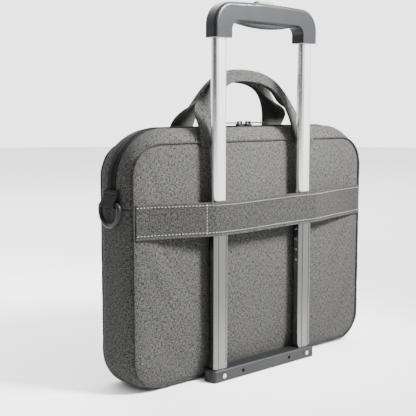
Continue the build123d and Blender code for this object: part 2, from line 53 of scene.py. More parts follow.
# Lowest and highest corners of the pieces that everything else is placed from.
seamLow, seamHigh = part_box("back_welt")
baseLow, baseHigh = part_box("lower_gusset")
rearLow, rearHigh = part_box("rear_gusset")
zipLow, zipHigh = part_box("zip_tape_rear")
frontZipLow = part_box("zip_tape_front")[0]
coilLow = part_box("zip_coil_rear")[0]
strapLow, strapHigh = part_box("luggage_strap")
ringLow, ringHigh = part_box("d_ring_right")
handleLow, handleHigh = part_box("rear_handle_cover")
collarLow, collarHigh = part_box("tube_collars")
dividerLow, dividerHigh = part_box("laptop_divider")
sleeveLow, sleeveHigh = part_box("divider_pocket")
pocketLow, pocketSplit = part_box("pocket_panel_lower")
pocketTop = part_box("pocket_panel_upper")[1].z
pocketTapeLow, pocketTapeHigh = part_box("pocket_zip_tape")

faceDepth = seamLow.y
foldLevel = (baseHigh.z + rearLow.z) / 2
caseMiddle = Vector((0, 0, rearHigh.z / 2))


# Nodes, and the patterns that several materials share.
def plug(tree, node, sockets):
    # links each input that is given a socket and sets the others
    for key, value in sockets.items():
        if isinstance(value, bpy.types.NodeSocket):
            tree.links.new(value, node.inputs[key])
        else:
            node.inputs[key].default_value = value
    return node


def addNode(tree, kind, sockets=None, **settings):
    node = tree.nodes.new(kind)
    for key, value in settings.items():
        setattr(node, key, value)
    return plug(tree, node, sockets or {})


def calc(tree, operation, first, second=0.0):
    return addNode(tree, "ShaderNodeMath", {0: first, 1: second}, operation=operation).outputs[0]


def mixColour(tree, factor, first, second):
    sockets = {"Factor": factor, 6: first, 7: second}
    return addNode(tree, "ShaderNodeMix", sockets, data_type="RGBA").outputs[2]


def scaleShift(tree, value, factor, shift):
    return calc(tree, "ADD", calc(tree, "MULTIPLY", value, factor), shift)


def scaleVector(tree, vector, factor):
    sockets = {0: vector, "Scale": factor}
    return addNode(tree, "ShaderNodeVectorMath", sockets, operation="SCALE").outputs[0]


def cloudy(tree, place, scale, detail=2.0):
    sockets = {"Vector": place, "Scale": scale, "Detail": detail}
    return addNode(tree, "ShaderNodeTexNoise", sockets).outputs["Fac"]


def stretch(tree, value, low, high):
    sockets = {"Value": value, "From Min": low, "From Max": high}
    return addNode(tree, "ShaderNodeMapRange", sockets, clamp=True).outputs[0]


def newGroup(name, inputs, outputs):
    tree = bpy.data.node_groups.new(name, "ShaderNodeTree")
    for label, kind, value in inputs:
        socket = tree.interface.new_socket(label, in_out="INPUT", socket_type=kind)
        if value is not None:
            socket.default_value = value
    for label, kind in outputs:
        tree.interface.new_socket(label, in_out="OUTPUT", socket_type=kind)
    return tree, tree.nodes.new("NodeGroupInput"), tree.nodes.new("NodeGroupOutput")


def makeWeaveGroup():
    # plain weave of melange yarn: each thread changes tone along its own length, and the colour is
    # darkened in the gaps between threads and lightened on their crowns as painted shade and painted
    # highlight
    tree, given, result = newGroup("melangeWeave", [
        ("Surface", "NodeSocketVector", None),
        ("Threads", "NodeSocketFloat", 1300.0),
        ("Dark", "NodeSocketColor", (0.03, 0.03, 0.03, 1)),
        ("Light", "NodeSocketColor", (0.3, 0.3, 0.3, 1)),
        ("Contrast", "NodeSocketFloat", 0.16),
    ], [("Color", "NodeSocketColor"), ("Height", "NodeSocketFloat")])
    scaled = scaleVector(tree, given.outputs["Surface"], given.outputs["Threads"])
    split = addNode(tree, "ShaderNodeSeparateXYZ", {0: scaled})
    u, v = split.outputs[0], split.outputs[1]
    over = addNode(tree, "ShaderNodeTexChecker", {"Vector": scaled, "Scale": 1.0}).outputs["Fac"]

    crossU = calc(tree, "ABSOLUTE", calc(tree, "SINE", calc(tree, "MULTIPLY", u, math.pi)))
    crossV = calc(tree, "ABSOLUTE", calc(tree, "SINE", calc(tree, "MULTIPLY", v, math.pi)))
    warp = calc(tree, "MULTIPLY", crossU, calc(tree, "POWER", crossV, 0.4))
    weft = calc(tree, "MULTIPLY", crossV, calc(tree, "POWER", crossU, 0.4))
    rise = addNode(tree, "ShaderNodeMix", {0: over, 2: warp, 3: weft}).outputs[0]

    def slub(along, across, seed):
        place = addNode(tree, "ShaderNodeCombineXYZ",
                        {0: calc(tree, "MULTIPLY", u, along),
                         1: calc(tree, "MULTIPLY", v, across), 2: seed})
        return cloudy(tree, place.outputs[0], 1.0)

    fine = addNode(tree, "ShaderNodeMix", {0: over, 2: slub(1.0, 0.3, 3.0),
                                           3: slub(0.3, 1.0, 9.0)}).outputs[0]
    coarse = calc(tree, "MULTIPLY", calc(tree, "ADD", slub(0.7, 0.16, 15.0), slub(0.18, 0.8, 21.0)), 0.5)
    both = scaleShift(tree, fine, 0.45, calc(tree, "MULTIPLY", coarse, 0.55))
    low = calc(tree, "SUBTRACT", 0.5, given.outputs["Contrast"])
    high = calc(tree, "ADD", 0.5, given.outputs["Contrast"])
    shade = stretch(tree, both, low, high)
    colour = mixColour(tree, shade, given.outputs["Dark"], given.outputs["Light"])
    # painted shade in the gaps between threads and painted highlight on their crowns: the yarn colour is
    # scaled by the weave height
    lit = scaleVector(tree, colour, scaleShift(tree, rise, 0.45, 0.62))
    plug(tree, result, {"Color": lit, "Height": rise})
    return tree


def makeGrainGroup():
    # fine moulded grain with slow changes of gloss
    tree, given, result = newGroup("mouldedGrain", [
        ("Place", "NodeSocketVector", None),
        ("Grain", "NodeSocketFloat", 1500.0),
        ("Roughness", "NodeSocketFloat", 0.4),
        ("Spread", "NodeSocketFloat", 0.12),
    ], [("Height", "NodeSocketFloat"), ("Roughness", "NodeSocketFloat")])
    place = given.outputs["Place"]
    grain = cloudy(tree, place, given.outputs["Grain"])
    slow = calc(tree, "SUBTRACT", cloudy(tree, place, 40.0, 4.0), 0.5)
    rough = scaleShift(tree, slow, given.outputs["Spread"], given.outputs["Roughness"])
    plug(tree, result, {"Height": grain, "Roughness": rough})
    return tree


def makeDrawnGroup():
    # lengthwise streaks of drawn and brushed metal
    tree, given, result = newGroup("drawnStreaks", [
        ("Place", "NodeSocketVector", None),
        ("Roughness", "NodeSocketFloat", 0.3),
        ("Spread", "NodeSocketFloat", 0.2),
    ], [("Height", "NodeSocketFloat"), ("Roughness", "NodeSocketFloat"), ("Shade", "NodeSocketFloat")])
    place = given.outputs["Place"]
    along = addNode(tree, "ShaderNodeMapping", {"Vector": place, "Scale": (1600.0, 1600.0, 12.0)})
    streak = cloudy(tree, along.outputs[0], 1.0, 3.0)
    smear = cloudy(tree, place, 22.0, 3.0)
    both = scaleShift(tree, streak, 0.6, calc(tree, "MULTIPLY", smear, 0.4))
    uneven = calc(tree, "SUBTRACT", both, 0.5)
    rough = scaleShift(tree, uneven, given.outputs["Spread"], given.outputs["Roughness"])
    shade = scaleShift(tree, both, 0.16, 0.92)
    plug(tree, result, {"Height": streak, "Roughness": rough, "Shade": shade})
    return tree


weaveGroup = makeWeaveGroup()
grainGroup = makeGrainGroup()
drawnGroup = makeDrawnGroup()


# Materials.
def newMaterial(name):
    material = bpy.data.materials.new(name)
    material.use_nodes = True
    tree = material.node_tree
    tree.nodes.clear()
    shader = tree.nodes.new("ShaderNodeBsdfPrincipled")
    output = tree.nodes.new("ShaderNodeOutputMaterial")
    tree.links.new(shader.outputs[0], output.inputs[0])
    return material, tree, shader


def objectPlace(tree):
    return addNode(tree, "ShaderNodeTexCoord").outputs["Object"]


def raised(tree, height, distance):
    sockets = {"Height": height, "Distance": distance, "Strength": 1.0}
    return addNode(tree, "ShaderNodeBump", sockets).outputs[0]


def clothMaterial(name, settings):
    material, tree, shader = newMaterial(name)
    surface = addNode(tree, "ShaderNodeUVMap", uv_map="weave").outputs[0]
    yarn = {key: settings[key.lower()] for key in ("Threads", "Dark", "Light", "Contrast")}
    weave = addNode(tree, "ShaderNodeGroup", {"Surface": surface, **yarn}, node_tree=weaveGroup)
    fade = scaleShift(tree, cloudy(tree, objectPlace(tree), 14.0, 3.0), 0.24, 0.88)
    plug(tree, shader, {
        "Base Color": scaleVector(tree, weave.outputs["Color"], fade),
        "Roughness": settings["roughness"], "Specular IOR Level": 0.08,
        "Sheen Weight": settings["sheen"], "Sheen Roughness": 0.5,
        "Normal": raised(tree, weave.outputs["Height"], settings["bump"])})
    return material


def mouldedMaterial(name, colour, roughness, grain=1500.0, spread=0.12, bump=0.00004, gloss=0.5):
    material, tree, shader = newMaterial(name)
    place = objectPlace(tree)
    sockets = {"Place": place, "Grain": grain, "Roughness": roughness, "Spread": spread}
    grained = addNode(tree, "ShaderNodeGroup", sockets, node_tree=grainGroup)
    darker = [channel * 0.86 for channel in colour] + [1]
    lighter = [channel * 1.12 for channel in colour] + [1]
    plug(tree, shader, {
        "Base Color": mixColour(tree, cloudy(tree, place, 30.0, 4.0), darker, lighter),
        "Roughness": grained.outputs["Roughness"], "Specular IOR Level": gloss,
        "Normal": raised(tree, grained.outputs["Height"], bump)})
    return material


def metalMaterial(name, colour, roughness, spread=0.16, bump=0.00001):
    material, tree, shader = newMaterial(name)
    sockets = {"Place": objectPlace(tree), "Roughness": roughness, "Spread": spread}
    drawn = addNode(tree, "ShaderNodeGroup", sockets, node_tree=drawnGroup)
    plain = addNode(tree, "ShaderNodeRGB")
    plain.outputs[0].default_value = (*colour, 1)
    plug(tree, shader, {
        "Base Color": scaleVector(tree, plain.outputs[0], drawn.outputs["Shade"]),
        "Roughness": drawn.outputs["Roughness"], "Metallic": 1.0,
        "Normal": raised(tree, drawn.outputs["Height"], bump)})
    return material


heatherCloth = clothMaterial("heatherCloth", {
    "threads": 1450.0, "dark": (0.0055, 0.0054, 0.0051, 1), "light": (0.087, 0.0857, 0.0822, 1),
    "contrast": 0.075, "roughness": 0.95, "sheen": 0.02, "bump": 0.0003})
# heatherCloth with darker yarns: painted shade, on the strap and as the dark line along the seams round
# the panels
shadedHeatherCloth = clothMaterial("shadedHeatherCloth", {
    "threads": 1450.0, "dark": (0.0045, 0.0044, 0.0042, 1), "light": (0.058, 0.0571, 0.0548, 1),
    "contrast": 0.075, "roughness": 0.95, "sheen": 0.02, "bump": 0.0003})
handleTwill = clothMaterial("handleTwill", {
    "threads": 1900.0, "dark": (0.022, 0.0217, 0.0205, 1), "light": (0.05, 0.0493, 0.047, 1),
    "contrast": 0.3, "roughness": 0.75, "sheen": 0.05, "bump": 0.00015})
innerNylon = clothMaterial("innerNylon", {
    "threads": 2200.0, "dark": (0.018, 0.018, 0.021, 1), "light": (0.04, 0.04, 0.045, 1),
    "contrast": 0.3, "roughness": 0.6, "sheen": 0.05, "bump": 0.00012})
blackWebbing = clothMaterial("blackWebbing", {
    "threads": 1100.0, "dark": (0.007, 0.007, 0.008, 1), "light": (0.022, 0.022, 0.023, 1),
    "contrast": 0.3, "roughness": 0.8, "sheen": 0.0, "bump": 0.0003})
zipTape = clothMaterial("zipTapeCloth", {
    "threads": 1700.0, "dark": (0.006, 0.006, 0.007, 1), "light": (0.018, 0.018, 0.019, 1),
    "contrast": 0.3, "roughness": 0.8, "sheen": 0.0, "bump": 0.0002})
paleThread = mouldedMaterial("paleThread", (0.24, 0.234, 0.213), 0.7, grain=4000.0)
greyThread = mouldedMaterial("greyThread", (0.11, 0.108, 0.103), 0.7, grain=4000.0)
zipNylon = mouldedMaterial("zipNylon", (0.006, 0.006, 0.0065), 0.5, spread=0.1, gloss=0.25)
blackMetal = mouldedMaterial("blackPlating", (0.007, 0.007, 0.0075), 0.38, grain=2600.0, spread=0.2,
                             gloss=0.22)
gripPlastic = mouldedMaterial("gripPlastic", (0.007, 0.0075, 0.0085), 0.34, grain=1700.0, bump=0.00003,
                              gloss=0.25)
insertRubber = mouldedMaterial("insertRubber", (0.009, 0.0095, 0.0105), 0.55, grain=1300.0)
buttonPlastic = mouldedMaterial("buttonPlastic", (0.15, 0.15, 0.14), 0.33, grain=2200.0)
bracketPlastic = mouldedMaterial("bracketPlastic", (0.01, 0.0103, 0.011), 0.5, grain=1200.0, gloss=0.25)
boardPlastic = mouldedMaterial("boardPlastic", (0.02, 0.02, 0.021), 0.5, grain=900.0)
brightAluminium = metalMaterial("brightAluminium", (0.9, 0.9, 0.895), 0.17)
# aluminium given a dark colour for the outer tubes: painted shade
shadedAluminium = metalMaterial("shadedAluminium", (0.15, 0.15, 0.147), 0.18)
zincSteel = metalMaterial("zincSteel", (0.62, 0.62, 0.62), 0.3)
print("materials ready")


# Helpers that make the meshes.
def newPiece(name, mesh, materials, smooth=True):
    data = bpy.data.meshes.new(name)
    mesh.to_mesh(data)
    mesh.free()
    for material in materials:
        data.materials.append(material)
    piece = bpy.data.objects.new(name, data)
    bpy.context.scene.collection.objects.link(piece)
    if smooth:
        data.polygons.foreach_set("use_smooth", [True] * len(data.polygons))
    return piece


def makeSheet(name, columns, rows, place, materials, inside=caseMiddle, closed=False):
    # place(along, across) gives a point and its distances over the cloth
    mesh = bmesh.new()
    bmesh.ops.create_grid(mesh, x_segments=columns, y_segments=rows, size=0.5)
    weave = mesh.loops.layers.uv.new("weave")
    measured = {}
    for vert in mesh.verts:
        along = round((vert.co.x + 0.5) * columns)
        across = round((vert.co.y + 0.5) * rows)
        vert.co, measured[vert] = place(along, across)
    for face in mesh.faces:
        for loop in face.loops:
            loop[weave].uv = measured[loop.vert]
    if closed:
        bmesh.ops.remove_doubles(mesh, verts=mesh.verts, dist=0.00001)
    mesh.normal_update()
    outward = sum(face.normal.dot(face.calc_center_median() - inside) * face.calc_area()
                  for face in mesh.faces)
    if outward < 0:
        bmesh.ops.reverse_faces(mesh, faces=mesh.faces)
    return newPiece(name, mesh, materials)


def thicken(piece, thickness, offset=-1.0, smoothing=1, innerSlot=0):
    solid = piece.modifiers.new("thickness", "SOLIDIFY")
    solid.thickness = thickness
    solid.offset = offset
    solid.material_offset = innerSlot
    solid.use_even_offset = False
    if smoothing:
        subdivide = piece.modifiers.new("smooth", "SUBSURF")
        subdivide.levels = subdivide.render_levels = smoothing
    return piece


def applyModifiers(piece):
    graph = bpy.context.evaluated_depsgraph_get()
    data = bpy.data.meshes.new_from_object(piece.evaluated_get(graph))
    piece.modifiers.clear()
    piece.data = data
    return piece


def flow(x, y, z, size):
    # smooth repeatable unevenness, from -1 to 1
    return noise.noise(Vector((x, y, z)) / size)


def roundedRoute(corners, radii, step):
    # runs joined by arcs of the given radii, as points a step apart
    points = [Vector(corners[0])]
    for before, corner, after, radius in zip(corners, corners[1:], corners[2:], radii):
        corner = Vector(corner)
        into, out = Vector(before) - corner, Vector(after) - corner
        into.normalize()
        out.normalize()
        half = into.angle(out) / 2
        reach = radius / math.tan(half)
        centre = corner + (into + out).normalized() * radius / math.sin(half)
        start, end = corner + into * reach, corner + out * reach
        sweep = math.pi - 2 * half
        count = max(int(radius * sweep / step), 3)
        axis = (start - centre).cross(end - centre)
        points += [centre + Matrix.Rotation(sweep * i / count, 3, axis) @ (start - centre)
                   for i in range(count + 1)]
    points.append(Vector(corners[-1]))
    even = [points[0]]
    for first, second in zip(points, points[1:]):
        count = max(int((second - first).length / step), 1)
        even += [first.lerp(second, (i + 1) / count) for i in range(count)]
    return even


def lengthsAlong(points):
    total, marks = 0.0, [0.0]
    for first, second in zip(points, points[1:]):
        total += (second - first).length
        marks.append(total)
    return marks


def spotsAlong(points, targets):
    # the spot at each rising distance along a line, with the run it lies on
    marks = lengthsAlong(points)
    index = 0
    for target in targets:
        while index < len(points) - 2 and marks[index + 1] < target:
            index += 1
        run = points[index + 1] - points[index]
        yield points[index] + run * ((target - marks[index]) / max(run.length, 1e-9)), run


def makeTube(name, points, radius, sides, materials, closed=True, wobble=0.0):
    # a round seam or rod along a closed or open line of points
    count = len(points)
    marks = lengthsAlong(points)
    centre = sum(points, Vector()) / count

    def place(along, across):
        here = points[along % count] if closed else points[min(along, count - 1)]
        ahead = points[(along + 1) % count] if closed else points[min(along + 1, count - 1)]
        behind = points[(along - 1) % count] if closed else points[max(along - 1, 0)]
        tangent = (ahead - behind).normalized()
        side = tangent.cross(Vector((0, 1, 0))).normalized()
        up = side.cross(tangent).normalized()
        turn = 2 * math.pi * across / sides
        size = radius * (1 + wobble * flow(here.x, here.y, here.z, 0.011))
        spot = here + side * size * math.cos(turn) + up * size * math.sin(turn)
        return spot, (marks[along % count] if closed else marks[min(along, count - 1)],
                      2 * math.pi * radius * across / sides)

    columns = count if closed else count - 1
    return makeSheet(name, columns, sides, place, materials, inside=centre, closed=True)


def makeRepeats(name, forms, material):
    # many small rounded shapes, made in batches
    whole = bmesh.new()
    for start in range(0, len(forms), 40):
        batch = bmesh.new()
        for form in forms[start:start + 40]:
            bmesh.ops.create_uvsphere(batch, u_segments=6, v_segments=4, radius=1.0, matrix=form)
        data = bpy.data.meshes.new("batch")
        batch.to_mesh(data)
        batch.free()
        whole.from_mesh(data)
        bpy.data.meshes.remove(data)
    return newPiece(name, whole, [material])


def makeStitches(name, rows, size, material):
    # each row is (points, pitch, gap share); one short rounded thread for each stitch
    forms = []
    for points, pitch, share in rows:
        count = int(lengthsAlong(points)[-1] / pitch)
        for spot, run in spotsAlong(points, [(number + 0.5) * pitch for number in range(count)]):
            turn = run.to_track_quat("X", "Z").to_matrix().to_4x4()
            form = Matrix.Diagonal((pitch * share / 2, size, size, 1))
            forms.append(Matrix.Translation(spot) @ turn @ form)
    return makeRepeats(name, forms, material)


def settle(piece, held, edge, settings):
    # the cover swells and rumples a little between its seams
    start = [vert.co.copy() for vert in piece.data.vertices]
    group = piece.vertex_groups.new(name="sewn")
    group.add(held, 1.0, "REPLACE")
    cloth = piece.modifiers.new("settle", "CLOTH")
    cloth.settings.vertex_group_mass = "sewn"
    cloth.settings.quality = settings["quality"]
    cloth.settings.mass = settings["mass"]
    cloth.settings.tension_stiffness = settings["stiffness"]
    cloth.settings.compression_stiffness = settings["stiffness"]
    cloth.settings.shear_stiffness = settings["stiffness"] / 3
    cloth.settings.bending_stiffness = settings["bending"]
    cloth.settings.use_pressure = True
    cloth.settings.uniform_pressure_force = settings["pressure"]
    cloth.settings.shrink_min = -settings["slack"]
    cloth.settings.effector_weights.gravity = settings["gravity"]
    scene = bpy.context.scene
    for number in range(1, settings["frames"] + 1):
        scene.frame_set(number)
    graph = bpy.context.evaluated_depsgraph_get()
    moved = [vert.co.copy() for vert in piece.evaluated_get(graph).data.vertices]
    piece.modifiers.clear()
    piece.vertex_groups.clear()
    scene.frame_set(1)
    # only swells in and out, and dies away towards the seam
    for vert, before, after in zip(piece.data.vertices, start, moved):
        share = min(max(coverRise(before.x, before.z, edge, 1.0, 0.0), 0.0), 1.0) ** 2
        vert.co.y += settings["most"] * math.tanh((after.y - before.y) / settings["most"]) * share
    return piece


def finishPiece(piece, body, slotName, *standsFor):
    if body:
        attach(piece, body)
    if standsFor:
        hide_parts(*standsFor)
    return piece


def bendWithFlap(piece, slotName, *standsFor):
    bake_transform(piece)
    return finishPiece(piece, None, slotName, *standsFor)


# Outline of the case: the widest line round the middle and the sewn line round each panel.
seamEdge = {"half": seamHigh.x, "low": seamLow.z, "high": seamHigh.z, "top": 38 * mm, "base": 34 * mm}
ridgeEdge = {"half": rearHigh.x, "low": baseLow.z, "high": rearHigh.z, "top": 62 * mm, "base": 38 * mm}
gussetForm = {"band": 13 * mm, "belly": 1.9, "counts": (20, 22, 84), "rows": 10, "cloth": 1.6 * mm,
              "pucker": 0.5 * mm, "puckerReach": 9 * mm, "lip": 1.2 * mm, "sway": 0.7 * mm,
              "tuck": 1.4 * mm, "tuckReach": 2.5 * mm, "overZip": 1.2 * mm, "lowerRows": 26}


def edgeAt(depth):
    reach = (abs(depth) - gussetForm["band"]) / (faceDepth - gussetForm["band"])
    share = max(reach, 0.0) ** gussetForm["belly"]
    return {key: ridgeEdge[key] + (seamEdge[key] - ridgeEdge[key]) * share for key in ridgeEdge}


def archLine(half, start, end, corner, counts):
    # from (half, start) past the level end and back to (-half, start), with round corners
    side, turn, top = counts
    way = math.copysign(1, end - start)
    inner = end - way * corner
    line = [(half, start + (inner - start) * i / side) for i in range(side)]
    for i in range(turn):
        angle = math.pi / 2 * i / turn
        line.append((half - corner + corner * math.cos(angle), inner + way * corner * math.sin(angle)))
    line += [((half - corner) * (1 - 2 * i / top), end) for i in range(top)]
    for i in range(turn):
        angle = math.pi / 2 * i / turn
        line.append((corner - half - corner * math.sin(angle), inner + way * corner * math.cos(angle)))
    line += [(-half, inner + (start - inner) * i / side) for i in range(side + 1)]
    return line


def overTop(edge, start=foldLevel):
    return archLine(edge["half"], start, edge["high"], edge["top"], gussetForm["counts"])


def underBase(edge, start=foldLevel):
    side, turn, top = gussetForm["counts"]
    return archLine(edge["half"], start, edge["low"], edge["base"], (side * 2, turn, top))


def wholeRing(edge, depth):
    upper = [Vector((x, depth, z)) for x, z in overTop(edge)]
    lower = [Vector((x, depth, z)) for x, z in underBase(edge)]
    return upper[:-1] + lower[:0:-1]


def makeGusset(name, line, first, last, rows, materials, lipAtLast=False):
    # a strip of the gusset between two depths
    depths = [first + (last - first) * i / rows for i in range(rows + 1)]
    lines = [line(edgeAt(depth)) for depth in depths]
    marks = lengthsAlong([Vector((x, 0, z)) for x, z in line(ridgeEdge)])

    def place(along, across):
        x, z = lines[across][along]
        depth = depths[across]
        fromSeam = faceDepth - abs(depth)
        nearSeam = max(0.0, 1 - fromSeam / gussetForm["puckerReach"])
        outwards = Vector((x, 0, z - caseMiddle.z)).normalized()
        ruffle = flow(marks[along], depth * 0.3, 0, 0.013) * gussetForm["pucker"] * nearSeam
        sway = flow(x, depth, z, 0.07) * gussetForm["sway"]
        dip = gussetForm["lip"] if lipAtLast and across == rows else 0.0
        tuck = gussetForm["tuck"] * max(0.0, 1 - fromSeam / gussetForm["tuckReach"])
        spot = Vector((x, depth, z)) + outwards * (ruffle + sway * (1 - nearSeam) - tuck - dip)
        spot.z = max(spot.z, 0.0)
        return spot, (marks[along], depth)

    return makeSheet(name, len(lines[0]) - 1, rows, place, materials)


clothBoth = [heatherCloth, innerNylon]
rearStrip = makeGusset("rearGusset", overTop, faceDepth, zipHigh.y - gussetForm["overZip"],
                       gussetForm["rows"], clothBoth, True)
thicken(rearStrip, gussetForm["cloth"], innerSlot=1)
finishPiece(rearStrip, "case", "heather_cloth", "rear_gusset")

frontStrip = makeGusset("frontGusset", overTop, -faceDepth, frontZipLow.y + gussetForm["overZip"],
                        gussetForm["rows"], clothBoth, True)
thicken(frontStrip, gussetForm["cloth"], innerSlot=1)
applyModifiers(frontStrip)
bendWithFlap(frontStrip, "heather_cloth", "front_gusset")

lowerBand = makeGusset("lowerGusset", underBase, -faceDepth, faceDepth,
                       gussetForm["lowerRows"], clothBoth)
thicken(lowerBand, gussetForm["cloth"], innerSlot=1)
applyModifiers(lowerBand)
bendWithFlap(lowerBand, "heather_cloth", "lower_gusset")
print("gussets ready")


# Covers of the two large panels and the seam round each.
panelForm = {
    "columns": 96, "rows": 70, "crown": 3.4 * mm, "frontCrown": 0.6 * mm, "dip": 1.5 * mm,
    "cloth": 1.4 * mm, "held": 0.985, "heldCorner": 0.94, "flatness": 8, "fullness": 0.55,
    "waveSize": 75 * mm, "wave": 0.7, "rippleSize": 28 * mm, "ripple": 0.25,  # both rises in mm
    "settle": {"stiffness": 15.0, "bending": 0.4, "pressure": 3.0, "slack": 0.004, "gravity": 0.3,
               "quality": 5, "mass": 0.35, "frames": 18, "most": 2.2 * mm},
}


def heightOf(edge):
    # the middle height of an outline and how far it reaches up and down
    return (edge["low"] + edge["high"]) / 2, (edge["high"] - edge["low"]) / 2


def roundPlace(x, z, edge):
    # draws the square corners of a sheet in to the rounded edge
    middle, reach = heightOf(edge)
    corner = edge["top"] if z > middle else edge["base"]
    overX = (abs(x) - (edge["half"] - corner)) / corner
    overZ = (abs(z - middle) - (reach - corner)) / corner
    if overX > 0 and overZ > 0:
        x = math.copysign(edge["half"] - corner + corner * overX * math.sqrt(1 - overZ ** 2 / 2), x)
        z = middle + math.copysign(reach - corner + corner * overZ * math.sqrt(1 - overX ** 2 / 2),
                                   z - middle)
    return x, z


def coverRise(x, z, edge=seamEdge, crown=panelForm["crown"], dip=panelForm["dip"]):
    # how far a cover stands out from its seam
    middle, reach = heightOf(edge)
    across = 1 - min(abs(x) / edge["half"], 1) ** panelForm["flatness"]
    up = 1 - min(abs(z - middle) / reach, 1) ** panelForm["flatness"]
    return (dip + crown) * (across * up) ** panelForm["fullness"] - dip


def sheetSpot(edge, along, across, columns, rows):
    # a spot of the square sheet, and where it lies once the corners are drawn in
    x0 = edge["half"] * (2 * along / columns - 1)
    z0 = edge["low"] + (edge["high"] - edge["low"]) * across / rows
    return x0, z0, *roundPlace(x0, z0, edge)


def makeCover(name, side, edge, depth, crown, dip, columns, rows, materials):
    def place(along, across):
        x0, z0, x, z = sheetSpot(edge, along, across, columns, rows)
        rise = coverRise(x0, z0, edge, crown, dip)
        inner = min(max(rise, 0.0) / max(crown, 0.1 * mm), 1.0)
        wave = flow(x, side * 5, z, panelForm["waveSize"]) * panelForm["wave"]
        ripple = flow(x, side * 9, z, panelForm["rippleSize"]) * panelForm["ripple"]
        rise += (wave + ripple) * mm * inner
        return Vector((x, side * (depth + rise), z)), (x0, z0)

    return makeSheet(name, columns, rows, place, materials)


def sewnVerts(piece, edge, margin, alsoSewn=None):
    # the points of a cover that its stitching holds
    held = []
    middle, reach = heightOf(edge)
    for vert in piece.data.vertices:
        nearEdge = max(abs(vert.co.x) / edge["half"], abs(vert.co.z - middle) / reach) > margin
        nearCorner = (math.hypot(max(abs(vert.co.x) - edge["half"] + edge["top"], 0),
                                 max(abs(vert.co.z - middle) - reach + edge["top"], 0))
                      > edge["top"] * panelForm["heldCorner"])
        if nearEdge or nearCorner or (alsoSewn and alsoSewn(vert.co.x, vert.co.z)):
            held.append(vert.index)
    return held


strapForm = {
    "sewnEnd": 6 * mm, "tunnelStitch": 106 * mm, "cloth": 2.2 * mm, "hem": 4.5 * mm,
    "hemRise": 0.5 * mm, "sag": 2.2 * mm, "rows": 22, "step": 2.4 * mm, "overHang": 1.5 * mm,
    "sagMiddle": 70 * mm, "sagWidth": 70 * mm, "besideTube": 1.9 * mm, "seat": 1.2 * mm,
    "bends": (30 * mm, 9 * mm, 9 * mm, 30 * mm), "threadRadius": 0.42 * mm, "threadInset": 3.4 * mm,
    "threadLift": 1.25 * mm, "edgeStitch": (4.2 * mm, 0.62), "tunnelThread": (3.6 * mm, 0.7),
    "foldRadius": 1.25 * mm, "foldLift": 0.2 * mm, "columnSteps": 40, "wander": 0.5 * mm,
    "ripple": 0.35 * mm, "offPanel": 1.5 * mm, "free": 4 * mm, "weaveHalf": 19 * mm,
}


def underStrap(x, z):
    return abs(x) > strapHigh.x - strapForm["sewnEnd"] and strapLow.z < z < strapHigh.z


backCover = makeCover("backPanel", 1, seamEdge, faceDepth, panelForm["crown"], panelForm["dip"],
                      panelForm["columns"], panelForm["rows"], [heatherCloth, innerNylon])
settle(backCover, sewnVerts(backCover, seamEdge, panelForm["held"], underStrap), seamEdge,
       panelForm["settle"])
thicken(backCover, panelForm["cloth"], innerSlot=1)
finishPiece(backCover, "case", "heather_cloth", "back_panel")

frontCover = makeCover("frontPanel", -1, seamEdge, faceDepth, panelForm["frontCrown"], panelForm["dip"],
                       panelForm["columns"], panelForm["rows"], [heatherCloth, innerNylon])
thicken(frontCover, panelForm["cloth"], innerSlot=1)
applyModifiers(frontCover)
bendWithFlap(frontCover, "heather_cloth", "front_panel_upper", "front_panel_lower")

seamForm = {"radius": 1.3 * mm, "sides": 8, "wobble": 0.35}


# the seams are drawn in the shaded copy of the heather cloth: painted shade for the dark gap between
# panel and gusset
def makeSeam(name, side):
    return makeTube(name, wholeRing(seamEdge, side * faceDepth), seamForm["radius"], seamForm["sides"],
                    [shadedHeatherCloth], wobble=seamForm["wobble"])


backSeam = makeSeam("backSeam", 1)
finishPiece(backSeam, "case", "heather_cloth", "back_welt")
frontSeam = makeSeam("frontSeam", -1)
bendWithFlap(frontSeam, "heather_cloth", "front_welt_upper", "front_welt_lower")
print("panels ready")


# Padding behind the panels, divider and its pocket.
foamLow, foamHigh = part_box("back_foam")
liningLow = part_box("back_lining")[0]
paddingEdge = {"half": foamHigh.x, "low": foamLow.z, "high": foamHigh.z, "top": 32 * mm, "base": 28 * mm}
quiltForm = {"pitch": 46 * mm, "groove": 0.9 * mm, "width": 3 * mm, "columns": 110, "rows": 80,
             "pinch": 2.5 * mm, "slack": 0.8 * mm}


def quiltDip(x, z):
    # sewn channels across the padding on the slant
    first = abs((x + z) % quiltForm["pitch"] - quiltForm["pitch"] / 2)
    second = abs((x - z) % quiltForm["pitch"] - quiltForm["pitch"] / 2)
    near = min(first, second)
    return quiltForm["groove"] * math.exp(-(near / quiltForm["width"]) ** 2)


def makePadding(name, side):
    # a padded board: thick in the middle, pinched at its bound edge
    outer, inner = foamHigh.y, liningLow.y
    columns, rows = quiltForm["columns"], quiltForm["rows"]

    def place(along, across):
        x0, z0, x, z = sheetSpot(paddingEdge, along, across, columns, rows)
        swell = coverRise(x0, z0, paddingEdge, 0.0, quiltForm["pinch"])
        depth = inner + quiltDip(x0, z0) - swell
        return Vector((x, side * depth, z)), (x0, z0)

    piece = makeSheet(name, columns, rows, place, [innerNylon], inside=Vector((0, side, 0.15)))
    thicken(piece, outer - inner - quiltForm["slack"], smoothing=0)
    return applyModifiers(piece)


backPadding = makePadding("backPadding", 1)
finishPiece(backPadding, "case", "inner_lining", "back_foam", "back_lining")
frontPadding = makePadding("frontPadding", -1)
bendWithFlap(frontPadding, "inner_lining", "front_foam_upper", "front_foam_lower",
             "front_lining_upper", "front_lining_lower")

dividerEdge = {"half": dividerHigh.x, "low": dividerLow.z, "high": dividerHigh.z,
               "top": 30 * mm, "base": 30 * mm}
dividerForm = {"columns": 74, "rows": 48, "pinch": 0.55, "wave": 0.3 * mm}


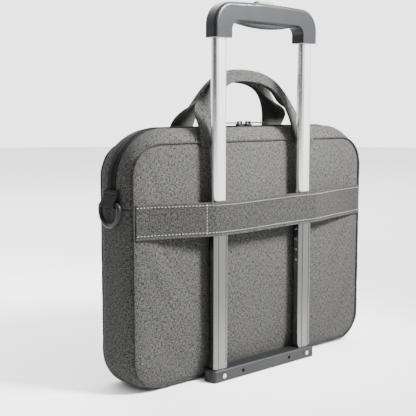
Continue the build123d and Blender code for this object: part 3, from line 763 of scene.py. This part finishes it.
def makeDivider():
    columns, rows = dividerForm["columns"], dividerForm["rows"]
    half = (dividerHigh.y - dividerLow.y) / 2
    middle = (dividerHigh.y + dividerLow.y) / 2

    def place(along, across):
        x0, z0, x, z = sheetSpot(dividerEdge, along, across, columns, rows)
        swell = coverRise(x0, z0, dividerEdge, 0.0, half * dividerForm["pinch"])
        wave = flow(x, 0, z, 0.05) * dividerForm["wave"]
        return Vector((x, middle + half + swell + wave, z)), (x0, z0)

    piece = makeSheet("laptopDivider", columns, rows, place, [innerNylon], inside=Vector((0, -1, 0.15)))
    thicken(piece, 2 * half, smoothing=1)
    return applyModifiers(piece)


divider = makeDivider()
finishPiece(divider, "case", "inner_lining", "laptop_divider")

sleeveForm = {"columns": 40, "rows": 26, "belly": 0.8 * mm, "pleat": 0.35 * mm, "inset": 1.0 * mm,
              "cloth": 0.8 * mm, "hemInset": 2.0 * mm, "hemRadius": 1.3 * mm}


def makeSleeve():
    columns, rows = sleeveForm["columns"], sleeveForm["rows"]

    def place(along, across):
        x = sleeveLow.x + (sleeveHigh.x - sleeveLow.x) * along / columns
        z = sleeveLow.z + (sleeveHigh.z - sleeveLow.z) * across / rows
        belly = math.sin(math.pi * along / columns) * (across / rows) * sleeveForm["belly"]
        pleat = sleeveForm["pleat"] * math.sin(along * 1.9) * (across / rows) ** 3
        return Vector((x, sleeveHigh.y - sleeveForm["inset"] - belly + pleat, z)), (x, z)

    piece = makeSheet("dividerPocket", columns, rows, place, [innerNylon], inside=Vector((0, 1, 0.1)))
    thicken(piece, sleeveForm["cloth"])
    return piece


sleeve = makeSleeve()
finishPiece(sleeve, "case", "inner_lining", "divider_pocket")
hemDepth = sleeveHigh.y - sleeveForm["hemInset"]
hemLine = [Vector((sleeveLow.x + (sleeveHigh.x - sleeveLow.x) * i / 60, hemDepth, sleeveHigh.z))
           for i in range(61)]
sleeveHem = makeTube("dividerPocketHem", hemLine, sleeveForm["hemRadius"], 8, [blackWebbing],
                     closed=False)
finishPiece(sleeveHem, "case", "inner_lining")
print("inside ready")


# Luggage strap, over both tubes.
def strapRoute():
    flat = faceDepth + strapForm["seat"]
    proud = strapHigh.y - strapForm["cloth"] / 2
    overRight = collarHigh.x + strapForm["besideTube"]
    overLeft = collarLow.x - strapForm["besideTube"]
    end = strapHigh.x + strapForm["overHang"]
    sewn = end - strapForm["sewnEnd"]
    corners = [(end, flat, 0), (sewn, flat, 0), (overRight, proud, 0),
               (overLeft, proud, 0), (-sewn, flat, 0), (-end, flat, 0)]
    return roundedRoute(corners, strapForm["bends"], strapForm["step"])


strapPoints = strapRoute()
strapMarks = lengthsAlong(strapPoints)


def strapSpot(along, across, lift=0.0):
    # across runs from -1 at the lower edge to 1 at the upper edge
    here = strapPoints[along]
    ahead = strapPoints[min(along + 1, len(strapPoints) - 1)]
    behind = strapPoints[max(along - 1, 0)]
    tangent = (ahead - behind).normalized()
    outwards = Vector((tangent.y, -tangent.x, 0))
    if outwards.y < 0:
        outwards.negate()
    halfTall = (strapHigh.z - strapLow.z) / 2
    sag = strapForm["sag"] * math.exp(-((here.x - strapForm["sagMiddle"]) / strapForm["sagWidth"]) ** 2)
    height = (strapHigh.z + strapLow.z) / 2 + across * halfTall - sag
    height += flow(here.x, 2, 0, 0.06) * strapForm["wander"]
    fromEdge = (1 - abs(across)) * halfTall
    hem = strapForm["hemRise"] * (1 if fromEdge < strapForm["hem"] else 0)
    ripple = flow(here.x, across * 0.02, 4, 0.03) * strapForm["ripple"]
    spot = here + outwards * (lift + hem + ripple)
    onPanel = faceDepth + coverRise(here.x, height) + strapForm["offPanel"]
    if here.x > collarHigh.x + strapForm["free"] or here.x < collarLow.x - strapForm["free"]:
        spot.y = max(spot.y, onPanel + lift + hem)
    return Vector((spot.x, spot.y, height))


def makeStrap():
    rows = strapForm["rows"]

    def place(along, across):
        position = 2 * across / rows - 1
        return (strapSpot(along, position), (strapMarks[along], position * strapForm["weaveHalf"]))

    # the strap is drawn in the shaded copy of the heather cloth: painted shade
    piece = makeSheet("luggageStrap", len(strapPoints) - 1, rows, place, [shadedHeatherCloth])
    thicken(piece, strapForm["cloth"], offset=0.0)
    return piece


luggageStrap = makeStrap()
finishPiece(luggageStrap, "case", "heather_cloth", "luggage_strap")


def strapRow(across, lift):
    return [strapSpot(i, across, lift) for i in range(len(strapPoints))]


def strapColumn(x, lift):
    nearest = min(range(len(strapPoints)), key=lambda i: abs(strapPoints[i].x - x))
    count = strapForm["columnSteps"]
    return [strapSpot(nearest, (2 * step + 2) / count - 1, lift) for step in range(count)]


edgeShare = 1 - strapForm["threadInset"] / ((strapHigh.z - strapLow.z) / 2)
strapThreads = makeStitches("strapStitches", [
    (strapRow(edgeShare, strapForm["threadLift"]), *strapForm["edgeStitch"]),
    (strapRow(-edgeShare, strapForm["threadLift"]), *strapForm["edgeStitch"]),
    (strapColumn(strapForm["tunnelStitch"], strapForm["threadLift"]), *strapForm["tunnelThread"]),
], strapForm["threadRadius"], paleThread)
finishPiece(strapThreads, "case", "heather_cloth")

strapFold = makeTube("strapFold", strapRow(-1.0, strapForm["foldLift"]), strapForm["foldRadius"], 8,
                     [heatherCloth], closed=False, wobble=0.15)
finishPiece(strapFold, "case", "heather_cloth")
print("strap ready")


# Main zip: two tapes and two rows of teeth.
zipForm = {"centre": zipLow.y, "sunk": 0.1 * mm, "tooth": 0.62 * mm, "reach": 2.3 * mm,
           "pitch": 1.5 * mm, "lowEnd": coilLow.z, "tape": 0.6 * mm, "toothHalf": 0.55 * mm,
           "toothLean": 0.25}


def zipLine(inset, start):
    edge = {"half": ridgeEdge["half"] - inset, "high": ridgeEdge["high"] - inset,
            "top": ridgeEdge["top"] - inset}
    return overTop(edge, start)


def makeTape(name, first, last):
    rows = 4
    line = zipLine(zipForm["sunk"], foldLevel)
    marks = lengthsAlong([Vector((x, 0, z)) for x, z in line])

    def place(along, across):
        x, z = line[along]
        depth = first + (last - first) * across / rows
        return Vector((x, depth, z)), (marks[along], depth)

    piece = makeSheet(name, len(line) - 1, rows, place, [zipTape])
    thicken(piece, zipForm["tape"], smoothing=0)
    return piece


def makeTeeth(name, side):
    # one short nylon loop for each turn of the coil
    line = [Vector((x, zipForm["centre"], z))
            for x, z in zipLine(zipForm["sunk"] - zipForm["tooth"], zipForm["lowEnd"])]
    count = int(lengthsAlong(line)[-1] / zipForm["pitch"])
    late = 0.5 if side > 0 else 0.0
    forms = []
    for spot, run in spotsAlong(line, [(number + late) * zipForm["pitch"] for number in range(count)]):
        spot.y += side * zipForm["reach"] * 0.42
        turn = run.to_track_quat("X", "Y").to_matrix().to_4x4()
        lean = Matrix.Rotation(side * zipForm["toothLean"], 4, "Z")
        form = Matrix.Diagonal((zipForm["toothHalf"], zipForm["reach"] / 2, zipForm["tooth"], 1))
        forms.append(Matrix.Translation(spot) @ turn @ lean @ form)
    return makeRepeats(name, forms, zipNylon)


rearTape = makeTape("rearZipTape", zipForm["centre"], zipHigh.y)
finishPiece(rearTape, "case", "zip_tape", "zip_tape_rear")
frontTape = makeTape("frontZipTape", frontZipLow.y, zipForm["centre"])
applyModifiers(frontTape)
bendWithFlap(frontTape, "zip_tape", "zip_tape_front")
rearTeeth = makeTeeth("rearZipCoil", 1)
finishPiece(rearTeeth, "case", "zip_coil", "zip_coil_rear")
frontTeeth = makeTeeth("frontZipCoil", -1)
bendWithFlap(frontTeeth, "zip_coil", "zip_coil_front")
print("zip ready")


# Webbing tabs that hold the D-rings.
tabForm = {"barRadius": 2.6 * mm, "offWall": 0.9 * mm, "webbing": 1.3 * mm, "rows": 8,
           "threadOut": 3.1 * mm, "threadUp": 9.6 * mm, "threadRadius": 0.35 * mm,
           "stitch": (2.6 * mm, 0.7),
           "loop": ((203.7, -4.1), (207.3, -2.9), (207.8, 0.6), (205.6, 4.6), (202.0, 8.4))}  # in mm
tabLow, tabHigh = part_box("d_ring_tab_right")


def makeRingTab(name, sign):
    # a loop of webbing down from the zip's end, round the bar of the ring and back up
    bar = Vector((sign * (ringLow.x + ringHigh.x) / 2, 0, ringHigh.z - tabForm["barRadius"]))
    wall = ridgeEdge["half"] + tabForm["offWall"]
    route = [(wall, 16), (wall - 0.1 * mm, 1), (wall + 0.4 * mm, -3.6)]
    route += [(x * mm, z) for x, z in tabForm["loop"]] + [(wall + 1.5 * mm, 15.4)]
    smooth = [Vector((sign * x, 0, bar.z + z * mm)) for x, z in route]
    for _ in range(2):
        cut = [smooth[0]]
        for first, second in zip(smooth, smooth[1:]):
            cut += [first.lerp(second, 0.25), first.lerp(second, 0.75)]
        smooth = cut + [smooth[-1]]
    marks = lengthsAlong(smooth)
    middle, half = (tabLow.y + tabHigh.y) / 2, (tabHigh.y - tabLow.y) / 2
    rows = tabForm["rows"]

    def place(along, across):
        spot = smooth[along].copy()
        spot.y = middle + half * (2 * across / rows - 1)
        return spot, (spot.y, marks[along])

    piece = makeSheet(name, len(smooth) - 1, rows, place, [blackWebbing], inside=bar)
    thicken(piece, tabForm["webbing"], offset=0.0)
    return piece


for side, sign in (("left", -1), ("right", 1)):
    tab = makeRingTab("ringTab." + side, sign)
    finishPiece(tab, "case", "zip_tape", "d_ring_tab_" + side)
    outerFace = sign * (ridgeEdge["half"] + tabForm["threadOut"])
    level = ringHigh.z + tabForm["threadUp"]
    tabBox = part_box("d_ring_tab_" + side)
    row = [Vector((outerFace, tabBox[0].y + 2 * mm + i * mm, level)) for i in range(23)]
    threads = makeStitches("ringTabStitches." + side, [(row, *tabForm["stitch"])],
                           tabForm["threadRadius"], greyThread)
    finishPiece(threads, "case", "zip_tape")
print("ring tabs ready")


# Carry handles, folded in half where the hand holds them.
handleForm = {
    "half": 79.5 * mm, "rise": 88 * mm, "width": 35 * mm, "foldRun": 13 * mm, "power": 2.7,
    "columns": 90, "rows": 26, "cloth": 1.5 * mm, "lining": 1.0 * mm, "root": 9 * mm,
    "lean": 0.27, "taper": 0.14, "foldMost": 0.94 * math.pi, "foldFrom": 0.12, "foldOver": 0.75,
    "sway": 0.8 * mm, "seat": 1.6 * mm, "rearSlump": 12 * mm, "frontSlump": 15 * mm, "gap": 0.05 * mm,
    "bendFrom": -2 * mm, "leanChange": 0.15, "swaySize": 40 * mm,
}


def handlePath(share):
    # share runs from 0 at one root to 1 at the other
    angle = math.pi * share
    power = 2 / handleForm["power"]
    x = math.copysign(abs(math.cos(angle)) ** power, math.cos(angle)) * handleForm["half"]
    z = abs(math.sin(angle)) ** power * handleForm["rise"]
    return Vector((x * (1 - handleForm["taper"] * z / handleForm["rise"]), z))


def evenPath(count):
    fine = [handlePath(i / 600) for i in range(601)]
    root = [Vector((handleForm["half"], -handleForm["root"]))]
    fine = root + fine + [Vector((-handleForm["half"], -handleForm["root"]))]
    total = lengthsAlong(fine)[-1]
    return [spot for spot, run in spotsAlong(fine, [total * i / count for i in range(count + 1)])], total


handleLine, handleLength = evenPath(handleForm["columns"])


def handleSpot(along, across, sign, slump):
    # across runs from -1 at the inner edge to 1 at the outer edge; the top is folded in half
    here = handleLine[along]
    ahead = handleLine[min(along + 1, len(handleLine) - 1)]
    behind = handleLine[max(along - 1, 0)]
    tangent = (ahead - behind).normalized()
    outer = Vector((tangent.y, -tangent.x))
    if outer.dot(here - Vector((0, 0.02))) < 0:
        outer = -outer
    height = min(max(here.y / handleForm["rise"], 0), 1)
    ease = min(max((height - handleForm["foldFrom"]) / handleForm["foldOver"], 0), 1)
    fold = handleForm["foldMost"] * ease * ease * (3 - 2 * ease)
    distance = across * handleForm["width"] / 2
    run = handleForm["foldRun"]
    if fold < 0.01:
        up, back = distance, 0.0
    else:
        radius = run / fold
        if distance < -run / 2:
            up, back = distance + run / 2, 0.0
        elif distance < run / 2:
            turn = fold * (distance + run / 2) / run
            up, back = radius * math.sin(turn), radius * (1 - math.cos(turn))
        else:
            over = distance - run / 2
            up = radius * math.sin(fold) + over * math.cos(fold)
            back = radius * (1 - math.cos(fold)) + over * math.sin(fold)
        up -= run / 2 * (1 - 0.8 * ease)
    x, tall = here + outer * up
    drop = slump * height * max(0.0, min(1.0, 0.5 - x / (2 * handleForm["half"]))) ** 1.5
    lean = handleForm["lean"] * (1 + handleForm["leanChange"] * math.sin(x * 30))
    inwards = math.sin(lean) * max(tall, 0) + back
    sway = flow(x, sign, tall, handleForm["swaySize"]) * handleForm["sway"] * height
    depth = handleHigh.y - handleForm["seat"] - inwards + sway
    return Vector((x + sway, sign * depth, handleLow.z + tall * math.cos(lean) - drop))


def makeHandle(name, sign, slump, materials, offset, thickness):
    rows = handleForm["rows"]

    def place(along, across):
        position = 2 * across / rows - 1
        return (handleSpot(along, position, sign, slump),
                (handleLength * along / handleForm["columns"], position * handleForm["width"] / 2))

    piece = makeSheet(name, handleForm["columns"], rows, place, materials,
                      inside=Vector((0, -sign * 1.0, 0.33)))
    thicken(piece, thickness, smoothing=0)
    if offset:
        push = piece.modifiers.new("under the cover", "DISPLACE")
        push.strength = -offset
        push.mid_level = 0.0
        piece.modifiers.move(1, 0)
    smooth = piece.modifiers.new("smooth", "SUBSURF")
    smooth.levels = smooth.render_levels = 1
    return applyModifiers(piece)


for label, sign, parent in (("rear", 1, "case"), ("front", -1, "front_flap")):
    slump = handleForm[label + "Slump"]
    cover = makeHandle(label + "Handle", sign, slump, [heatherCloth], 0.0, handleForm["cloth"])
    lining = makeHandle(label + "HandleLining", sign, slump, [handleTwill],
                        handleForm["cloth"] + handleForm["gap"], handleForm["lining"])
    for piece, node, slotName in ((cover, "_handle_cover", "heather_cloth"),
                                  (lining, "_handle_lining", "handle_lining")):
        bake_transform(piece)
        finishPiece(piece, None, slotName, label + node)
print("handles ready")


# Front pocket and its zip.
pocketEdge = {"half": pocketSplit.x, "low": pocketLow.z, "high": pocketTop,
              "top": 3 * mm, "base": 26 * mm}
pocketForm = {"out": 1.6 * mm, "crown": 2.2 * mm, "dip": 1.2 * mm, "columns": 84, "rows": 52,
              "held": 0.98, "most": 1.2 * mm, "cloth": 1.3 * mm, "toothPitch": 1.5 * mm,
              "flapBelow": 3.2 * mm, "flapAbove": 4.5 * mm, "flapOut": 3.0 * mm, "threadOut": 3.5 * mm,
              "threadInset": 3.0 * mm, "stitch": (3.6 * mm, 0.62), "threadRadius": 0.32 * mm,
              "toothHalf": 0.55 * mm, "toothReach": 1.15 * mm, "toothOff": 0.95 * mm, "tape": 1.0 * mm,
              "lip": 1.0 * mm, "flapCloth": 1.1 * mm, "flapShort": 6 * mm, "flapBelly": 0.5 * mm}
pocketCover = makeCover("pocketPanel", -1, pocketEdge, faceDepth + pocketForm["out"],
                        pocketForm["crown"], pocketForm["dip"], pocketForm["columns"],
                        pocketForm["rows"], [heatherCloth, innerNylon])
settle(pocketCover, sewnVerts(pocketCover, pocketEdge, pocketForm["held"]), pocketEdge,
       {**panelForm["settle"], "most": pocketForm["most"]})
thicken(pocketCover, pocketForm["cloth"], innerSlot=1)
applyModifiers(pocketCover)
bendWithFlap(pocketCover, "heather_cloth", "pocket_panel_upper", "pocket_panel_lower")


def makePocketZip():
    columns, rows = 60, 6
    low, high = pocketTapeLow, pocketTapeHigh

    def place(along, across):
        x = low.x + (high.x - low.x) * along / columns
        z = low.z + (high.z - low.z) * across / rows
        lip = pocketForm["lip"] * (1 - abs(2 * across / rows - 1))
        return Vector((x, low.y + 0.3 * mm + lip * 0.6, z)), (x, z)

    tape = makeSheet("pocketZipTape", columns, rows, place, [zipTape])
    thicken(tape, pocketForm["tape"], smoothing=0)
    finishPiece(tape, "front_flap", "zip_tape", "pocket_zip_tape")
    start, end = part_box("pocket_zip_coil")
    forms, pitch, half = [], pocketForm["toothPitch"], pocketForm["toothHalf"]
    form = Matrix.Diagonal((half, half, pocketForm["toothReach"], 1))
    for number in range(int((end.x - start.x) / pitch)):
        for side in (-1, 1):
            spot = Vector((start.x + (number + 0.25 + side * 0.25) * pitch, start.y + 0.5 * mm,
                           ((start + end) / 2).z + side * pocketForm["toothOff"]))
            forms.append(Matrix.Translation(spot) @ form)
    coil = makeRepeats("pocketZipCoil", forms, zipNylon)
    finishPiece(coil, "front_flap", "zip_coil", "pocket_zip_coil")


makePocketZip()


def pocketFlap(name, low, high, depth):
    # a folded edge of cloth above the pocket zip
    columns, rows = 70, 6
    half = pocketEdge["half"] - pocketForm["flapShort"]

    def place(along, across):
        x = half * (2 * along / columns - 1)
        z = low + (high - low) * across / rows
        belly = math.sin(math.pi * across / rows) * pocketForm["flapBelly"]
        return Vector((x, -(depth + belly), z)), (x, z)

    piece = makeSheet(name, columns, rows, place, [heatherCloth])
    thicken(piece, pocketForm["flapCloth"])
    return finishPiece(piece, "front_flap", "heather_cloth")


def pocketRow(level):
    half, depth = pocketEdge["half"] * 0.96, faceDepth + pocketForm["threadOut"]
    return [Vector((half * (i / 60 - 1), -depth, level)) for i in range(121)]


pocketFlap("pocketZipFlap", pocketTapeHigh.z - pocketForm["flapBelow"],
           pocketTapeHigh.z + pocketForm["flapAbove"], faceDepth + pocketForm["flapOut"])
pocketThreads = makeStitches("pocketStitches", [
    (pocketRow(pocketTapeHigh.z + pocketForm["threadInset"]), *pocketForm["stitch"]),
    (pocketRow(pocketTop - pocketForm["threadInset"]), *pocketForm["stitch"]),
], pocketForm["threadRadius"], greyThread)
finishPiece(pocketThreads, "front_flap", "heather_cloth")
print("pocket ready")


# Ribbed rubber under the grip.
insertForm = {"belly": 6 * mm, "rib": 0.45 * mm, "ribPitch": 4 * mm, "sunk": 1.2 * mm,
              "columns": 160, "rows": 12}


def makeInsert():
    low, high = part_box("grip_insert")
    middle, half = (low.y + high.y) / 2, (high.y - low.y) / 2
    columns, rows = insertForm["columns"], insertForm["rows"]

    def place(along, across):
        share = along / columns
        x = low.x + (high.x - low.x) * share
        rise = math.sin(math.pi * share) ** 0.6
        turn = math.pi * across / rows
        rib = insertForm["rib"] * math.cos(2 * math.pi * x / insertForm["ribPitch"]) * rise
        drop = (insertForm["belly"] * rise + rib) * math.sin(turn) ** 0.8
        z = low.z + insertForm["sunk"] - drop
        return Vector((x, middle - half * math.cos(turn), z)), (x, turn * half)

    return makeSheet("gripInsert", columns, rows, place, [insertRubber],
                     inside=Vector((0, middle, high.z + 20 * mm)))


gripInsert = makeInsert()
finishPiece(gripInsert, "pull_handle", "black_rubber", "grip_insert")


# Hard parts that keep their own shape and get a finish.
hardFinishes = {
    "base_board": boardPlastic,
    "d_ring_left": blackMetal, "d_ring_right": blackMetal,
    "main_slider_left": blackMetal, "main_slider_right": blackMetal,
    "main_puller_left": blackMetal, "main_puller_right": blackMetal,
    "pocket_slider": blackMetal, "pocket_puller": blackMetal,
    "inner_tube_left": brightAluminium, "inner_tube_right": brightAluminium,
    "outer_tube_left": shadedAluminium, "outer_tube_right": shadedAluminium,
    "lock_pin_left": zincSteel, "lock_pin_right": zincSteel,
    "bracket_screws": zincSteel, "release_rods": zincSteel,
    "grip_shell": gripPlastic, "tube_collars": bracketPlastic, "foot_bracket": bracketPlastic,
    "lock_blocks": bracketPlastic, "release_button": buttonPlastic,
}
for name, material in hardFinishes.items():
    data = nodes[name].data
    data.materials.clear()
    data.materials.append(material)
print("hard parts ready")


# Floor, light and camera.
studio = {"camera": (738.8 * mm, 766.8 * mm, 319.4 * mm), "heading": -131.6, "tilt": -6.73,
          "lens": 73.56, "shade": (1, 0.25, -0.35), "shadeFrom": 0.75, "shadeTo": -0.4,
          "bright": 3.2, "dim": 0.1, "floor": 0.9, "floorRadius": 6.0}
lamps = {
    "keyLamp": {"place": (-0.35, 0.75, 0.85), "size": (0.3, 0.3), "power": 10,
                "target": (-0.02, 0.03, 0.34), "spread": 52},
    "topLamp": {"place": (-1.2, -1.2, 2.6), "size": (2.5, 2.5), "power": 70, "target": (0, 0, 0)},
    "frontLamp": {"place": (-0.4, -1.9, 1.3), "size": (1.4, 1.2), "power": 22},
}


def makeFloor():
    mesh = bmesh.new()
    bmesh.ops.create_circle(mesh, cap_ends=True, segments=96, radius=studio["floorRadius"])
    material, tree, shader = newMaterial("paleFloor")
    pale = studio["floor"]
    plug(tree, shader, {"Base Color": (pale, pale, pale, 1), "Roughness": 0.75})
    floor = newPiece("floor", mesh, [material], smooth=False)
    floor.data.transform(Matrix.Translation((0, 0, -0.0002)))


def addLamp(name, place, size, power, target=(0, 0, 0.22), spread=180):
    data = bpy.data.lights.new(name, "AREA")
    data.spread = math.radians(spread)
    data.shape = "RECTANGLE"
    data.size, data.size_y = size
    data.energy = power
    lamp = bpy.data.objects.new(name, data)
    bpy.context.scene.collection.objects.link(lamp)
    lamp.location = place
    lamp.rotation_mode = "QUATERNION"
    lamp.rotation_quaternion = (Vector(target) - Vector(place)).to_track_quat("-Z", "Y")


def makeStudio():
    world = bpy.data.worlds.new("paleRoom")
    world.use_nodes = True
    tree = world.node_tree
    way = addNode(tree, "ShaderNodeTexCoord").outputs["Generated"]
    facing = addNode(tree, "ShaderNodeVectorMath", {0: way, 1: Vector(studio["shade"]).normalized()},
                     operation="DOT_PRODUCT").outputs["Value"]
    share = stretch(tree, facing, studio["shadeFrom"], studio["shadeTo"])
    level = scaleShift(tree, share, studio["bright"] - studio["dim"], studio["dim"])
    plug(tree, tree.nodes["Background"], {"Color": (1, 1, 1, 1), "Strength": level})
    bpy.context.scene.world = world
    for name, settings in lamps.items():
        addLamp(name, **settings)
    data = bpy.data.cameras.new("camera")
    data.lens = studio["lens"]
    camera = bpy.data.objects.new("camera", data)
    bpy.context.scene.collection.objects.link(camera)
    heading, tilt = math.radians(studio["heading"]), math.radians(studio["tilt"])
    ahead = Vector((math.cos(tilt) * math.cos(heading), math.cos(tilt) * math.sin(heading),
                    math.sin(tilt)))
    camera.location = studio["camera"]
    camera.rotation_mode = "QUATERNION"
    camera.rotation_quaternion = ahead.to_track_quat("-Z", "Y")
    bpy.context.scene.camera = camera


makeFloor()
makeStudio()
print("studio ready")
